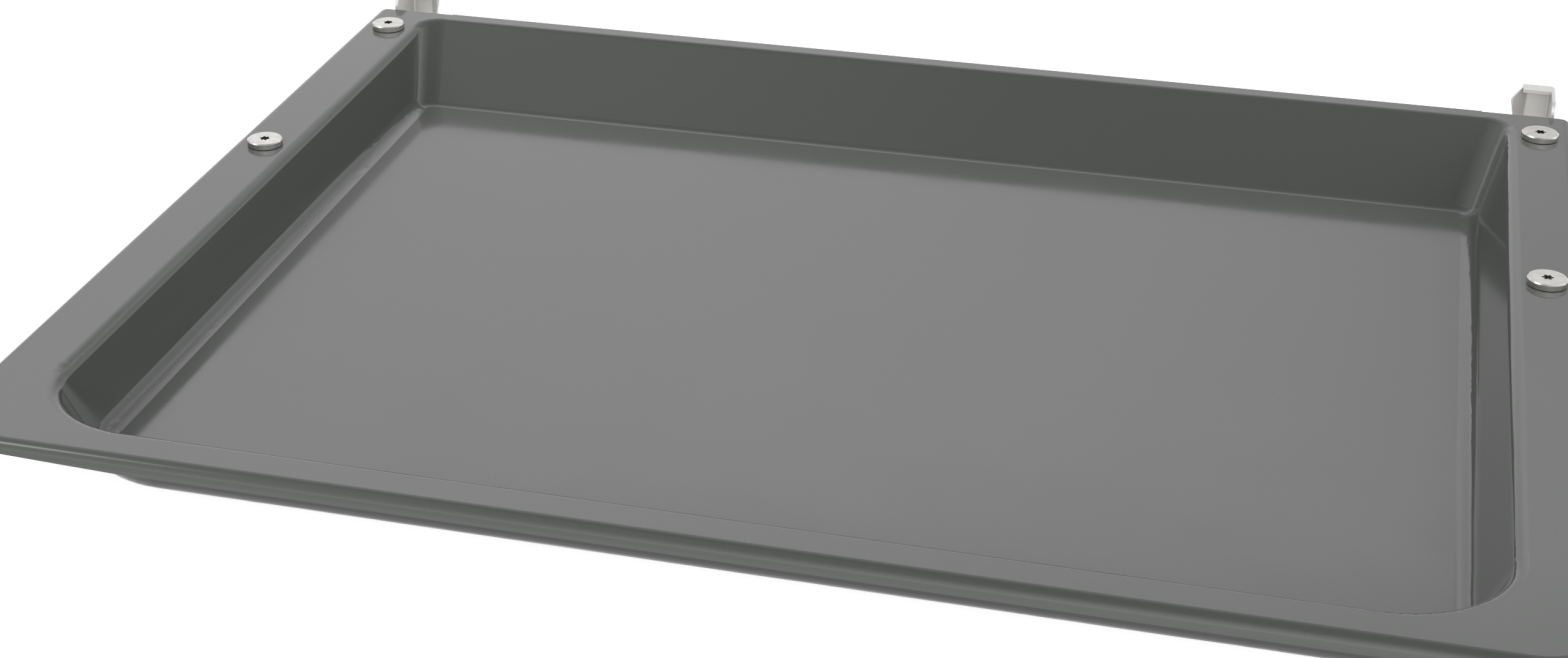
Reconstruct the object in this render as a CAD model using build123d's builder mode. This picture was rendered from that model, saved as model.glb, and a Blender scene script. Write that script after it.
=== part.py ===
from build123d import *
from math import cos, radians, tan
import os

# An enamelled steel oven tray with two screwed-on hook brackets.
# X is across the tray, +Y points to the hook side, +Z is up.
# The origin lies under the middle of the whole object, on the surface it rests on.
# All lengths are in millimetres, and drafts are angles from the vertical.

# Pan
pan_width = 465.0
pan_length = 374.5
pan_depth = 23.3
sheet = 1.2
side_flange = 23.3
front_flange = 16.7
rear_rim = 6.15
side_draft = 21.7
front_draft = 20.5
rear_draft = 55.2
bend_radius = 4.5
floor_fillet = 6.0
opening_front_corner = 34.0
opening_rear_corner = 8.5
floor_front_corner = 30.0
floor_rear_corner = 7.2
flange_front_corner = 20.0
flange_rear_corner = 6.0

# Turned-down edges of the flange
lip_radius = 4.4
front_lip = 4.5
side_lip = 3.3
lip_taper_start_inset = 62.0
lip_taper_end_inset = 20.5
rim_radius = 3.0
rim_lip = 4.2
rim_stand_out = 3.2
rim_end_inset = 32.5

# Screws, with their places on the side flanges
screw_inset = 12.7
rear_screw_setback = 20.9
screw_spacing = 126.1
shank_diameter = 4.9
head_diameter = 12.7
head_height = 2.3
head_bevel = 0.35
head_base_bevel = 0.25
socket_depth = 2.1
socket_core_radius = 1.25
socket_lobe_radius = 0.5
socket_lobe_circle = 1.35
socket_lobes = 6
tip_chamfer = 0.5
thread_past_nut = 1.2
hole_clearance = 0.3

# Washers and nuts
guard_washer_diameter = 11.0
guard_washer = 0.8
spring_washer_diameter = 8.4
spring_washer = 1.2
spring_washer_gap = 1.0
nut_across_flats = 8.0
nut_height = 4.0
nut_chamfer = 0.4
nut_sides = 6
nut_turn = 30.0
thread_clearance = 0.05

# Hook brackets
bracket_sheet = 1.2
bracket_outward = 5.5
bracket_inward = 7.0
bracket_front_reach = 11.0
bracket_drop = 10.0
bracket_end_corner = 4.0
web_end_corner = 2.0
web_bend = 1.4
hook_reach = 21.0
hook_rise = 4.5
hook_start = 1.5
hook_bend = 2.0
hook_back_width = 10.2
hook_leaf_in = 5.2
hook_leaf_forward = 8.2
hook_roof = 6.1
hook_roof_width = 11.2
hook_web_corner = 4.0
leaf_slope_in = 4.4
leaf_slope_drop = 3.0
leaf_foot_in = 3.2
leaf_tip_corner = 2.0

# One length by which every cut passes what it cuts
overrun = 1.0

# Places that follow from the sizes above
flange_top = pan_depth + sheet
flange_under = flange_top - sheet
half_width = pan_width / 2
overall_length = pan_length + hook_reach
pan_front = -overall_length / 2
pan_rear = pan_front + pan_length
lip_taper_start = half_width - lip_taper_start_inset
lip_taper_end = half_width - lip_taper_end_inset
screw_x = half_width - screw_inset
rear_screw_y = pan_rear - rear_screw_setback
front_screw_y = rear_screw_y - screw_spacing
hole_radius = shank_diameter / 2 + hole_clearance
bracket_top = flange_under - guard_washer
bracket_under = bracket_top - bracket_sheet
bracket_foot = bracket_top - bracket_drop
nut_top = bracket_under - spring_washer
hook_top = flange_top + hook_rise
bracket_outside = screw_x + bracket_outward
bracket_inside = screw_x - bracket_inward
bracket_front = front_screw_y - bracket_front_reach
bracket_back = pan_rear + hook_reach
hook_front = pan_rear + hook_start

places = {
    "left_rear": (-screw_x, rear_screw_y),
    "left_front": (-screw_x, front_screw_y),
    "right_rear": (screw_x, rear_screw_y),
    "right_front": (screw_x, front_screw_y),
}


def pressed_form(bottom, top, skin, bottom_radius):
    """Solid with the pan's drafted walls and rounded floor edge, skin being the wall's thickness."""
    with BuildPart() as form:
        for height in (bottom, top):
            drop = flange_top - height
            climb = (height - sheet) / pan_depth
            side = drop * tan(radians(side_draft)) - skin / cos(radians(side_draft))
            front = drop * tan(radians(front_draft)) - skin / cos(radians(front_draft))
            rear = drop * tan(radians(rear_draft)) - skin / cos(radians(rear_draft))
            half_x = half_width - side_flange - side
            front_y = pan_front + front_flange + front
            rear_y = pan_rear - rear_rim - rear
            front_corner = floor_front_corner + (opening_front_corner - floor_front_corner) * climb + skin
            rear_corner = floor_rear_corner + (opening_rear_corner - floor_rear_corner) * climb + skin
            with BuildSketch(Plane.XY.offset(height)) as outline:
                with Locations((0, (front_y + rear_y) / 2)):
                    Rectangle(2 * half_x, rear_y - front_y)
                fillet(outline.vertices().group_by(Axis.Y)[0], radius=front_corner)
                fillet(outline.vertices().group_by(Axis.Y)[-1], radius=rear_corner)
        loft(ruled=True)
        fillet(form.faces().sort_by(Axis.Z)[0].edges(), radius=bottom_radius)
    return form.part


# Hollow of the pan, and the outside of its walls and floor
cavity = pressed_form(sheet, flange_top + overrun, 0, floor_fillet)
wall_top = flange_under + sheet / 2
wall_skin = pressed_form(0, wall_top, sheet, floor_fillet + sheet)

# Space under the flange, inside its turned-down lip
lip_space_width = pan_width - 2 * sheet
lip_space_length = pan_length + 2 * overrun
with BuildPart() as lip_space:
    with BuildSketch(Plane.XY.offset(flange_top - front_lip - overrun)) as lip_space_outline:
        with Locations((0, pan_front + sheet + lip_space_length / 2)):
            Rectangle(lip_space_width, lip_space_length)
        fillet(lip_space_outline.vertices().group_by(Axis.Y)[0], radius=flange_front_corner - sheet)
    extrude(amount=front_lip + overrun - sheet)
    lip_space_top = lip_space.faces().sort_by(Axis.Z)[-1]
    fillet(lip_space_top.edges().sort_by(Axis.Y)[:-1], radius=lip_radius - sheet)

# Pan: flange with its lip, then the pressed walls, then the holes
skirt_length = pan_length + overrun
with BuildPart() as tray_pan:
    with BuildSketch(Plane.XY.offset(flange_top - front_lip)) as flange_outline:
        with Locations((0, pan_front + skirt_length / 2)):
            Rectangle(pan_width, skirt_length)
        fillet(flange_outline.vertices().group_by(Axis.Y)[0], radius=flange_front_corner)
    extrude(amount=front_lip)
    flange_face = tray_pan.faces().sort_by(Axis.Z)[-1]
    fillet(flange_face.edges().sort_by(Axis.Y)[:-1], radius=lip_radius)
    add(lip_space.part, mode=Mode.SUBTRACT)
    # The lip grows lower towards the corners and stays low along the sides
    with BuildSketch(Plane.XZ.offset(-pan_rear - 2 * overrun)) as taper:
        with BuildLine() as taper_line:
            Polyline(
                (lip_taper_start, flange_top - front_lip),
                (lip_taper_end, flange_top - side_lip),
                (half_width + overrun, flange_top - side_lip),
                (half_width + overrun, flange_top - front_lip - overrun),
                (lip_taper_start, flange_top - front_lip - overrun),
                close=True,
            )
        make_face()
        mirror(about=Plane.YZ)
    extrude(amount=pan_length + 4 * overrun, mode=Mode.SUBTRACT)
    # Rear end of the flange with its two corners
    with BuildSketch(Plane.XY.offset(flange_top - front_lip - overrun)) as rear_trim:
        with Locations((0, pan_rear - skirt_length / 2)):
            Rectangle(pan_width, skirt_length)
        fillet(rear_trim.vertices().group_by(Axis.Y)[-1], radius=flange_rear_corner)
    extrude(amount=front_lip + 2 * overrun, mode=Mode.INTERSECT)
    # Rear rim, rolled down between the brackets
    rim_root = pan_rear - rim_radius
    rim_out = pan_rear + rim_stand_out
    rim_length = pan_width - 2 * rim_end_inset
    with Locations((0, rim_root, flange_top)):
        Box(
            rim_length,
            rim_radius + overrun,
            2 * (sheet + overrun),
            align=(Align.CENTER, Align.MIN, Align.CENTER),
            mode=Mode.SUBTRACT,
        )
    with BuildSketch(Plane.YZ.offset(-rim_length / 2)) as rim_profile:
        with BuildLine() as rim_line:
            FilletPolyline(
                (rim_root, flange_top),
                (rim_out, flange_top),
                (rim_out, flange_top - rim_lip),
                radius=rim_radius,
            )
            offset(amount=sheet, side=Side.RIGHT)
        make_face()
    extrude(amount=rim_length)
    add(wall_skin)
    add(cavity, mode=Mode.SUBTRACT)
    level_faces = tray_pan.faces().filter_by(Plane.XY).group_by(Axis.Z)
    opening_face = level_faces[-1].sort_by(SortBy.AREA)[-1]
    under_face = level_faces[-2].sort_by(SortBy.AREA)[-1]
    fillet(opening_face.inner_wires()[0].edges(), radius=bend_radius)
    fillet(under_face.inner_wires()[0].edges(), radius=bend_radius - sheet)
    for x, y in places.values():
        with Locations((x, y, flange_top)):
            Cylinder(hole_radius, 2 * (sheet + overrun), mode=Mode.SUBTRACT)
tray_pan.part.label = "tray_pan"

# Hook bracket, right side: a long angle under the flange, ending in a hook behind the pan
web_length = hook_front - bracket_front
with BuildPart() as hook_bracket_right:
    with BuildSketch(Plane.XZ.offset(-hook_front)) as angle_profile:
        with BuildLine() as angle_line:
            FilletPolyline(
                (bracket_inside, bracket_top),
                (bracket_outside, bracket_top),
                (bracket_outside, bracket_foot),
                radius=web_bend,
            )
            offset(amount=bracket_sheet, side=Side.RIGHT)
        make_face()
    extrude(amount=web_length)
    web_corners = hook_bracket_right.edges().filter_by(Axis.Z).group_by(Axis.X)[0]
    fillet(web_corners, radius=web_end_corner)
    angle_front_corner = (
        hook_bracket_right.edges().filter_by(Axis.X).group_by(Axis.Y)[0].sort_by(Axis.Z)[0]
    )
    fillet(angle_front_corner, radius=bracket_end_corner)
    with BuildSketch(Plane.XY.offset(bracket_foot)) as hook_plan:
        with BuildLine() as hook_line:
            FilletPolyline(
                (bracket_outside, hook_front),
                (bracket_outside, bracket_back),
                (bracket_outside - hook_back_width, bracket_back),
                (bracket_outside - hook_back_width - hook_leaf_in, bracket_back - hook_leaf_forward),
                radius=hook_bend,
            )
            offset(amount=bracket_sheet, side=Side.LEFT)
        make_face()
    extrude(amount=hook_top - bracket_foot)
    hook_web_edge = hook_bracket_right.edges().filter_by(Axis.X).group_by(Axis.Z)[-1].sort_by(Axis.Y)[0]
    fillet(hook_web_edge, radius=hook_web_corner)
    # Free end of the leaf: sloped top and foot
    leaf_tip_x = bracket_outside - hook_back_width - hook_leaf_in
    leaf_cut_y = bracket_back - bracket_sheet
    with BuildSketch(Plane.XZ.offset(-leaf_cut_y)) as leaf_cut:
        with BuildLine() as leaf_top_line:
            Polyline(
                (leaf_tip_x + leaf_slope_in, hook_top + overrun),
                (leaf_tip_x + leaf_slope_in, hook_top),
                (leaf_tip_x, hook_top - leaf_slope_drop),
                (leaf_tip_x + leaf_foot_in, bracket_foot),
                (leaf_tip_x + leaf_foot_in, bracket_foot - overrun),
                (leaf_tip_x - 2 * overrun, bracket_foot - overrun),
                (leaf_tip_x - 2 * overrun, hook_top + overrun),
                close=True,
            )
        make_face()
        fillet(leaf_cut.vertices().group_by(Axis.X)[1], radius=leaf_tip_corner)
    extrude(amount=hook_reach, mode=Mode.SUBTRACT)
    with BuildSketch(Plane.XY.offset(hook_top - bracket_sheet)) as roof:
        with Locations((bracket_outside, bracket_back)):
            Rectangle(hook_roof_width, hook_roof, align=(Align.MAX, Align.MAX))
        fillet(roof.vertices().group_by(Axis.X)[-1].sort_by(Axis.Y)[-1], radius=hook_bend)
    extrude(amount=bracket_sheet)
    for x, y in (places["right_rear"], places["right_front"]):
        with Locations((x, y, bracket_top)):
            Cylinder(hole_radius, 2 * (bracket_sheet + overrun), mode=Mode.SUBTRACT)
hook_bracket_right.part.label = "hook_bracket_right"

with BuildPart() as hook_bracket_left:
    add(hook_bracket_right.part.mirror(Plane.YZ))
hook_bracket_left.part.label = "hook_bracket_left"

os.makedirs("parts", exist_ok=True)
export_step(tray_pan.part, "parts/tray_pan.step")
export_step(hook_bracket_left.part, "parts/hook_bracket_left.step")
export_step(hook_bracket_right.part, "parts/hook_bracket_right.step")

# Screws, washers and nuts, one set for each place
screw_length = flange_top - nut_top + nut_height + thread_past_nut
for place, (x, y) in places.items():
    with BuildPart() as screw:
        with Locations((x, y, flange_top)):
            Cylinder(head_diameter / 2, head_height, align=(Align.CENTER, Align.CENTER, Align.MIN))
        head_edges = screw.edges().filter_by(GeomType.CIRCLE).sort_by(Axis.Z)
        chamfer(head_edges[-1], length=head_bevel)
        chamfer(head_edges[0], length=head_base_bevel)
        with Locations((x, y, flange_top)):
            Cylinder(shank_diameter / 2, screw_length, align=(Align.CENTER, Align.CENTER, Align.MAX))
        chamfer(screw.edges().filter_by(GeomType.CIRCLE).sort_by(Axis.Z)[0], length=tip_chamfer)
        with BuildSketch(Plane.XY.offset(flange_top + head_height + overrun)) as socket:
            with Locations((x, y)):
                Circle(socket_core_radius)
                with PolarLocations(socket_lobe_circle, socket_lobes):
                    Circle(socket_lobe_radius)
        extrude(amount=-socket_depth - overrun, mode=Mode.SUBTRACT)
    screw.part.label = f"screw_{place}"
    export_step(screw.part, f"parts/screw_{place}.step")

    with BuildPart() as washer:
        with Locations((x, y, bracket_top)):
            Cylinder(guard_washer_diameter / 2, guard_washer, align=(Align.CENTER, Align.CENTER, Align.MIN))
            Cylinder(hole_radius, 2 * (guard_washer + overrun), mode=Mode.SUBTRACT)
    washer.part.label = f"guard_washer_{place}"
    export_step(washer.part, f"parts/guard_washer_{place}.step")

    with BuildPart() as spring:
        with Locations((x, y, nut_top)):
            Cylinder(spring_washer_diameter / 2, spring_washer, align=(Align.CENTER, Align.CENTER, Align.MIN))
            Cylinder(hole_radius, 2 * (spring_washer + overrun), mode=Mode.SUBTRACT)
            Box(
                spring_washer_gap,
                spring_washer_diameter / 2 + overrun,
                2 * (spring_washer + overrun),
                align=(Align.CENTER, Align.MAX, Align.CENTER),
                mode=Mode.SUBTRACT,
            )
    spring.part.label = f"spring_washer_{place}"
    export_step(spring.part, f"parts/spring_washer_{place}.step")

    with BuildPart() as nut:
        with BuildSketch(Plane.XY.offset(nut_top)):
            with Locations((x, y)):
                RegularPolygon(nut_across_flats / 2, side_count=nut_sides, major_radius=False, rotation=nut_turn)
        extrude(amount=-nut_height)
        chamfer(nut.faces().sort_by(Axis.Z)[0].edges(), length=nut_chamfer)
        with Locations((x, y, nut_top)):
            Cylinder(shank_diameter / 2 + thread_clearance, 2 * (nut_height + overrun), mode=Mode.SUBTRACT)
    nut.part.label = f"nut_{place}"
    export_step(nut.part, f"parts/nut_{place}.step")
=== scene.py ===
import bpy
from mathutils import Matrix, Vector


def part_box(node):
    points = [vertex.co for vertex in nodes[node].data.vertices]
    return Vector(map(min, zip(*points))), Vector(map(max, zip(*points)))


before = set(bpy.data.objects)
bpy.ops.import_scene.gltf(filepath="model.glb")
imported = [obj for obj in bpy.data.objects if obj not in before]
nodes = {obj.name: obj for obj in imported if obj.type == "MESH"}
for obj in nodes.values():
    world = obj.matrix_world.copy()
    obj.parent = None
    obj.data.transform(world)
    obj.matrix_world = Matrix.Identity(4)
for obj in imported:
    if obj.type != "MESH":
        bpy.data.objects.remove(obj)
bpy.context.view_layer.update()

# Camera, in metres and as unit vectors
camera_place = Vector((0.15158, -0.78865, 0.39199))
camera_right = Vector((0.95952729, 0.28150935, -0.00773768))
camera_up = Vector((-0.11878476, 0.42948556, 0.89522753))
camera_back = Vector((0.25533814, -0.85807613, 0.44554214))
sensor_width = 36.0
lens_length = 61.28
sideways_shift = 0.1127
nearest_seen = 0.01

# Studio floor: half its width in metres, its tone, and the glow that keeps it white to the eye
floor_half = 4.0
floor_tone = (0.86, 0.86, 0.86)
floor_glow = 0.76

# Surroundings: brightness by the height of the direction, from level to straight up, and soft patches
# of light by direction, with the cosines where each one ends and where it is full, and what it adds
surroundings = (
    (0.0, 1.15),
    (0.15, 1.15),
    (0.27, 0.95),
    (0.4, 1.15),
    (0.5, 1.8),
    (0.6, 1.15),
    (0.74, 0.9),
    (0.93, 0.3),
)
brightest = 2.0
soft_patches = (
    (Vector((-0.36, 0.80, 0.48)), 0.86, 0.985, 0.55),
    (Vector((-0.55, -0.05, 0.83)), 0.88, 0.97, 0.65),
    (Vector((-0.57, -0.12, 0.81)), 0.978, 0.99, 6.0),
    (Vector((0.90, 0.30, 0.30)), 0.60, 0.95, 0.5),
    (Vector((-0.12, -0.93, 0.34)), 0.50, 0.95, 0.8),
    (Vector((0.60, -0.70, 0.40)), 0.60, 0.95, 1.1),
)

# Enamel: tones, roughness and how it varies, and heights in metres
enamel_tone = (0.056, 0.060, 0.056)
enamel_fleck = (0.060, 0.064, 0.060)
fleck_range = (0.4, 0.8)
enamel_roughness = 0.10
enamel_smoother = 0.02
enamel_rougher = 0.03
wave_height = 0.0003
peel_height = 0.000006

# Scales of the textures, in features per metre
fleck_scale = 1500
cloud_scale = 25
wave_scale = 7
peel_scale = 420
smudge_scale = 90
scratch_scale = 260
ring_scale = 5200
plastic_grain_scale = 1200

# Metals and plastic: tones, roughness, and the depth of the grain in metres
bracket_tone = (0.60, 0.588, 0.566)
bracket_metallic = 0.45
bracket_roughness = 0.40
bracket_grain = (900, 60, 900)
bracket_grain_depth = 0.000004
zinc_tone = (0.63, 0.63, 0.62)
zinc_roughness = 0.28
zinc_grain = (500, 500, 500)
zinc_grain_depth = 0.000008
smudge_share = 0.94
steel_smoother = 0.06
steel_rougher = 0.08
turned_dark = (0.46, 0.45, 0.43)
turned_light = (0.55, 0.54, 0.515)
turned_roughness = (0.13, 0.17)
ring_depth = 0.000004
plastic_dark = (0.70, 0.68, 0.62)
plastic_light = (0.80, 0.78, 0.72)
plastic_roughness = (0.45, 0.6)
plastic_grain_depth = 0.00001
gloss_index = 1.5


def node_tree(material):
    """Empty node tree of a material, with its output node."""
    material.use_nodes = True
    tree = material.node_tree
    tree.nodes.clear()
    output = tree.nodes.new("ShaderNodeOutputMaterial")
    return tree, output


def add_node(tree, kind, **values):
    """New node with its sockets and settings given by name."""
    node = tree.nodes.new(kind)
    for name, value in values.items():
        if name in node.inputs:
            node.inputs[name].default_value = value
        else:
            setattr(node, name, value)
    return node


def noise(tree, coordinates, scale, detail=2.0, roughness=0.5):
    """Noise texture at a scale given in features per metre."""
    node = add_node(tree, "ShaderNodeTexNoise", Scale=scale, Detail=detail, Roughness=roughness)
    tree.links.new(coordinates, node.inputs["Vector"])
    return node.outputs["Fac"]


def spread(tree, value, low, high, from_low=0.3, from_high=0.7):
    """Value carried from one range to another."""
    node = tree.nodes.new("ShaderNodeMapRange")
    node.inputs["From Min"].default_value = from_low
    node.inputs["From Max"].default_value = from_high
    node.inputs["To Min"].default_value = low
    node.inputs["To Max"].default_value = high
    tree.links.new(value, node.inputs["Value"])
    return node.outputs["Result"]


def blend_colour(tree, factor, first, second):
    """Mix of two colours."""
    node = tree.nodes.new("ShaderNodeMix")
    node.data_type = "RGBA"
    node.inputs["A"].default_value = (*first, 1)
    node.inputs["B"].default_value = (*second, 1)
    tree.links.new(factor, node.inputs["Factor"])
    return node.outputs["Result"]


def bump(tree, height, distance, strength=1.0, normal=None):
    """Bump of a real height in metres."""
    node = add_node(tree, "ShaderNodeBump", Strength=strength, Distance=distance)
    tree.links.new(height, node.inputs["Height"])
    if normal is not None:
        tree.links.new(normal, node.inputs["Normal"])
    return node.outputs["Normal"]


def enamel():
    """Grey vitreous enamel: glossy, with a faint orange peel, broad waves and tiny flecks."""
    material = bpy.data.materials.new("grey_enamel")
    tree, output = node_tree(material)
    place = tree.nodes.new("ShaderNodeTexCoord").outputs["Object"]
    shader = add_node(tree, "ShaderNodeBsdfPrincipled", IOR=gloss_index)
    flecks = spread(tree, noise(tree, place, fleck_scale, 3), 0, 1, *fleck_range)
    tree.links.new(blend_colour(tree, flecks, enamel_tone, enamel_fleck), shader.inputs["Base Color"])
    cloud = noise(tree, place, cloud_scale, 4)
    gloss = spread(tree, cloud, enamel_roughness - enamel_smoother, enamel_roughness + enamel_rougher)
    tree.links.new(gloss, shader.inputs["Roughness"])
    waves = bump(tree, noise(tree, place, wave_scale, 1), wave_height)
    peel = bump(tree, noise(tree, place, peel_scale, 2), peel_height, normal=waves)
    tree.links.new(peel, shader.inputs["Normal"])
    tree.links.new(shader.outputs["BSDF"], output.inputs["Surface"])
    return material


def steel(name, tone, metallic, roughness, grain, grain_depth):
    """Steel with light smudges and a grain that has its own scale along each axis."""
    material = bpy.data.materials.new(name)
    tree, output = node_tree(material)
    place = tree.nodes.new("ShaderNodeTexCoord").outputs["Object"]
    stretch = tree.nodes.new("ShaderNodeMapping")
    stretch.inputs["Scale"].default_value = grain
    tree.links.new(place, stretch.inputs["Vector"])
    grain_noise = noise(tree, stretch.outputs["Vector"], 1, 3, 0.6)
    shader = add_node(tree, "ShaderNodeBsdfPrincipled", Metallic=metallic)
    darker = tuple(smudge_share * part for part in tone)
    smudge = noise(tree, place, smudge_scale, 4)
    colour = blend_colour(tree, spread(tree, smudge, 0, 1), darker, tone)
    tree.links.new(colour, shader.inputs["Base Color"])
    gloss = spread(tree, grain_noise, roughness - steel_smoother, roughness + steel_rougher)
    tree.links.new(gloss, shader.inputs["Roughness"])
    tree.links.new(bump(tree, grain_noise, grain_depth), shader.inputs["Normal"])
    tree.links.new(shader.outputs["BSDF"], output.inputs["Surface"])
    return material


def turned_steel(name, centre):
    """Bright turned steel with fine rings round a screw's axis and faint scratches."""
    material = bpy.data.materials.new(name)
    tree, output = node_tree(material)
    place = tree.nodes.new("ShaderNodeTexCoord").outputs["Object"]
    shift = add_node(tree, "ShaderNodeVectorMath", operation="SUBTRACT")
    shift.inputs[1].default_value = (centre.x, centre.y, 0)
    flatten = add_node(tree, "ShaderNodeVectorMath", operation="MULTIPLY")
    flatten.inputs[1].default_value = (1, 1, 0)
    radius = add_node(tree, "ShaderNodeVectorMath", operation="LENGTH")
    tree.links.new(place, shift.inputs[0])
    tree.links.new(shift.outputs["Vector"], flatten.inputs[0])
    tree.links.new(flatten.outputs["Vector"], radius.inputs[0])
    rings = add_node(tree, "ShaderNodeTexNoise", noise_dimensions="1D", Scale=ring_scale, Detail=1)
    tree.links.new(radius.outputs["Value"], rings.inputs["W"])
    scratches = noise(tree, place, scratch_scale, 3)
    shader = add_node(tree, "ShaderNodeBsdfPrincipled", Metallic=1.0)
    colour = blend_colour(tree, spread(tree, scratches, 0, 1), turned_dark, turned_light)
    tree.links.new(colour, shader.inputs["Base Color"])
    tree.links.new(spread(tree, scratches, *turned_roughness), shader.inputs["Roughness"])
    tree.links.new(bump(tree, rings.outputs["Fac"], ring_depth), shader.inputs["Normal"])
    tree.links.new(shader.outputs["BSDF"], output.inputs["Surface"])
    return material


def washer_plastic():
    """Natural plastic with a faint grain."""
    material = bpy.data.materials.new("washer_plastic")
    tree, output = node_tree(material)
    place = tree.nodes.new("ShaderNodeTexCoord").outputs["Object"]
    shader = add_node(tree, "ShaderNodeBsdfPrincipled", IOR=gloss_index)
    grain = noise(tree, place, plastic_grain_scale, 3)
    colour = blend_colour(tree, spread(tree, grain, 0, 1), plastic_dark, plastic_light)
    tree.links.new(colour, shader.inputs["Base Color"])
    tree.links.new(spread(tree, grain, *plastic_roughness), shader.inputs["Roughness"])
    tree.links.new(bump(tree, grain, plastic_grain_depth), shader.inputs["Normal"])
    tree.links.new(shader.outputs["BSDF"], output.inputs["Surface"])
    return material


def paint(node_name, material):
    """Give a CAD node one material."""
    mesh = nodes[node_name].data
    mesh.materials.clear()
    mesh.materials.append(material)


def studio_floor():
    """Plain white floor that stays white to the eye and in reflections, and keeps the shadow."""
    mesh = bpy.data.meshes.new("studio_floor")
    corners = [(x, y, 0) for x, y in ((-1, -1), (1, -1), (1, 1), (-1, 1))]
    places = [tuple(floor_half * part for part in corner) for corner in corners]
    mesh.from_pydata(places, [], [(0, 1, 2, 3)])
    floor = bpy.data.objects.new("studio_floor", mesh)
    bpy.context.collection.objects.link(floor)
    material = bpy.data.materials.new("studio_floor")
    tree, output = node_tree(material)
    path = tree.nodes.new("ShaderNodeLightPath")
    seen = add_node(tree, "ShaderNodeMath", operation="MAXIMUM")
    tree.links.new(path.outputs["Is Camera Ray"], seen.inputs[0])
    tree.links.new(path.outputs["Is Glossy Ray"], seen.inputs[1])
    glow_strength = add_node(tree, "ShaderNodeMath", operation="MULTIPLY")
    glow_strength.inputs[1].default_value = floor_glow
    tree.links.new(seen.outputs["Value"], glow_strength.inputs[0])
    matt = tree.nodes.new("ShaderNodeBsdfDiffuse")
    matt.inputs["Color"].default_value = (*floor_tone, 1)
    glow = tree.nodes.new("ShaderNodeEmission")
    tree.links.new(glow_strength.outputs["Value"], glow.inputs["Strength"])
    both = tree.nodes.new("ShaderNodeAddShader")
    tree.links.new(matt.outputs["BSDF"], both.inputs[0])
    tree.links.new(glow.outputs["Emission"], both.inputs[1])
    tree.links.new(both.outputs["Shader"], output.inputs["Surface"])
    mesh.materials.append(material)


def studio_world():
    """Pale surroundings as a ramp by height with soft patches of light; plain white to the camera."""
    world = bpy.data.worlds.new("studio")
    bpy.context.scene.world = world
    world.use_nodes = True
    tree = world.node_tree
    tree.nodes.clear()
    output = tree.nodes.new("ShaderNodeOutputWorld")
    direction = tree.nodes.new("ShaderNodeTexCoord").outputs["Generated"]
    parts = tree.nodes.new("ShaderNodeSeparateXYZ")
    tree.links.new(direction, parts.inputs["Vector"])
    ramp = tree.nodes.new("ShaderNodeValToRGB")
    steps = ramp.color_ramp.elements
    while len(steps) < len(surroundings):
        steps.new(1.0)
    for step, (height, brightness) in zip(steps, surroundings):
        step.position = height
        step.color = (*[brightness / brightest] * 3, 1)
    tree.links.new(parts.outputs["Z"], ramp.inputs["Fac"])
    total = spread(tree, ramp.outputs["Color"], 0, brightest, 0, 1)
    for towards, edge, core, gain in soft_patches:
        cosine = add_node(tree, "ShaderNodeVectorMath", operation="DOT_PRODUCT")
        cosine.inputs[1].default_value = towards.normalized()
        tree.links.new(direction, cosine.inputs[0])
        added = add_node(tree, "ShaderNodeMath", operation="ADD")
        tree.links.new(total, added.inputs[0])
        tree.links.new(spread(tree, cosine.outputs["Value"], 0, gain, edge, core), added.inputs[1])
        total = added.outputs["Value"]
    around = tree.nodes.new("ShaderNodeBackground")
    tree.links.new(total, around.inputs["Strength"])
    white = tree.nodes.new("ShaderNodeBackground")
    white.inputs["Color"].default_value = (1, 1, 1, 1)
    path = tree.nodes.new("ShaderNodeLightPath")
    either = tree.nodes.new("ShaderNodeMixShader")
    tree.links.new(path.outputs["Is Camera Ray"], either.inputs["Fac"])
    tree.links.new(around.outputs["Background"], either.inputs[1])
    tree.links.new(white.outputs["Background"], either.inputs[2])
    tree.links.new(either.outputs["Shader"], output.inputs["Surface"])


def photo_camera():
    """Camera at the photograph's place and angle."""
    lens = bpy.data.cameras.new("photo_camera")
    lens.sensor_width = sensor_width
    lens.lens = lens_length
    lens.shift_x = sideways_shift
    lens.clip_start = nearest_seen
    camera = bpy.data.objects.new("photo_camera", lens)
    bpy.context.collection.objects.link(camera)
    axes = Matrix((camera_right, camera_up, camera_back)).transposed().to_4x4()
    camera.matrix_world = Matrix.Translation(camera_place) @ axes
    bpy.context.scene.camera = camera


photo_camera()
studio_floor()
studio_world()
bpy.context.scene.view_settings.view_transform = "Standard"

paint("tray_pan", enamel())
bracket_finish = steel(
    "bracket_steel",
    bracket_tone,
    bracket_metallic,
    bracket_roughness,
    bracket_grain,
    bracket_grain_depth,
)
zinc_finish = steel("nut_steel", zinc_tone, 1.0, zinc_roughness, zinc_grain, zinc_grain_depth)
plastic_finish = washer_plastic()
for node_name in nodes:
    if node_name.startswith("hook_bracket"):
        paint(node_name, bracket_finish)
    elif node_name.startswith(("nut", "spring_washer")):
        paint(node_name, zinc_finish)
    elif node_name.startswith("guard_washer"):
        paint(node_name, plastic_finish)
    elif node_name.startswith("screw"):
        low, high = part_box(node_name)
        centre = (Vector(low) + Vector(high)) / 2
        paint(node_name, turned_steel(node_name + "_steel", centre))
